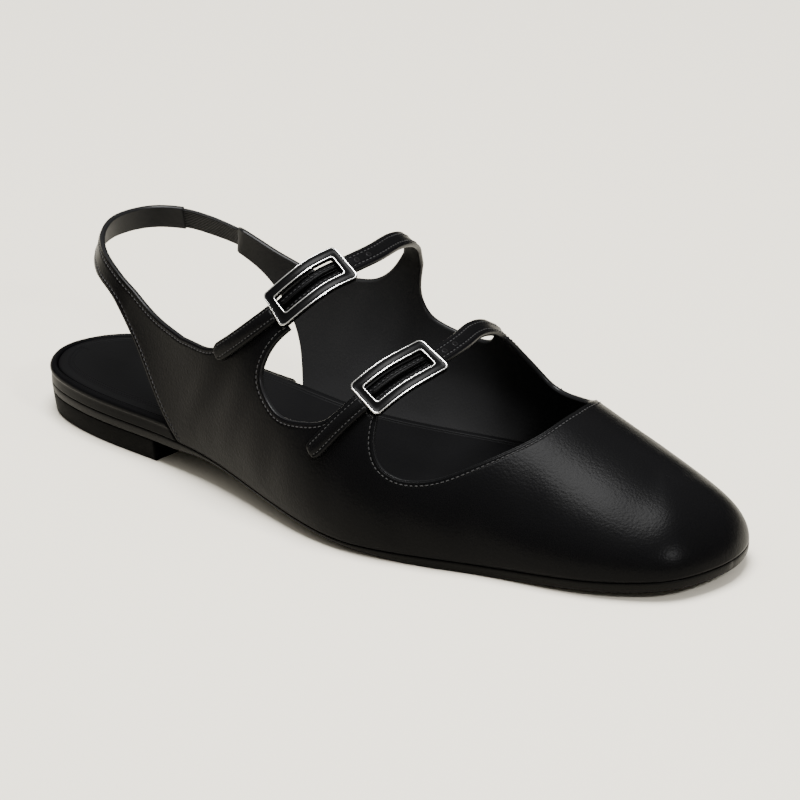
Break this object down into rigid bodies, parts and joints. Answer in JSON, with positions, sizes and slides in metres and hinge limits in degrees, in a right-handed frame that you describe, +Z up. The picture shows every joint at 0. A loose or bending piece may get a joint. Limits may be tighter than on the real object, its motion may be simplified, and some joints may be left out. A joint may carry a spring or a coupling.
{
  "type": "slingback shoe",
  "caption": "Flat leather slingback for the right foot with a closed soft-square toe, cut-out sides and buckled instep straps over a low heel.",
  "frame": {"origin": "centre of the bounding box on the plane the shoe stands on", "axes": "+X from heel to toe, +Y to the wearer's left, which is the inner side, +Z up"},
  "size_m": [0.2494, 0.0886, 0.0751],
  "materials": {
    "black_leather": "smooth satin black calf",
    "insole_leather": "satin black padded sock",
    "elastic": "ribbed matte black elastic",
    "sole_rubber": "matte black-brown edge",
    "buckle_metal": "polished edges with a black face"
  },
  "bodies": {
    "root": {"upper": "black_leather", "strap_rear_lateral": "black_leather", "strap_front_lateral": "black_leather", "seat_rand": "black_leather", "insole": "insole_leather", "sling_elastic": "elastic", "outsole": "sole_rubber", "heel_block": "sole_rubber", "buckle_rear_frame": "buckle_metal", "buckle_rear_prong": "buckle_metal", "buckle_front_frame": "buckle_metal", "buckle_front_prong": "buckle_metal"}
  },
  "joints": []
}
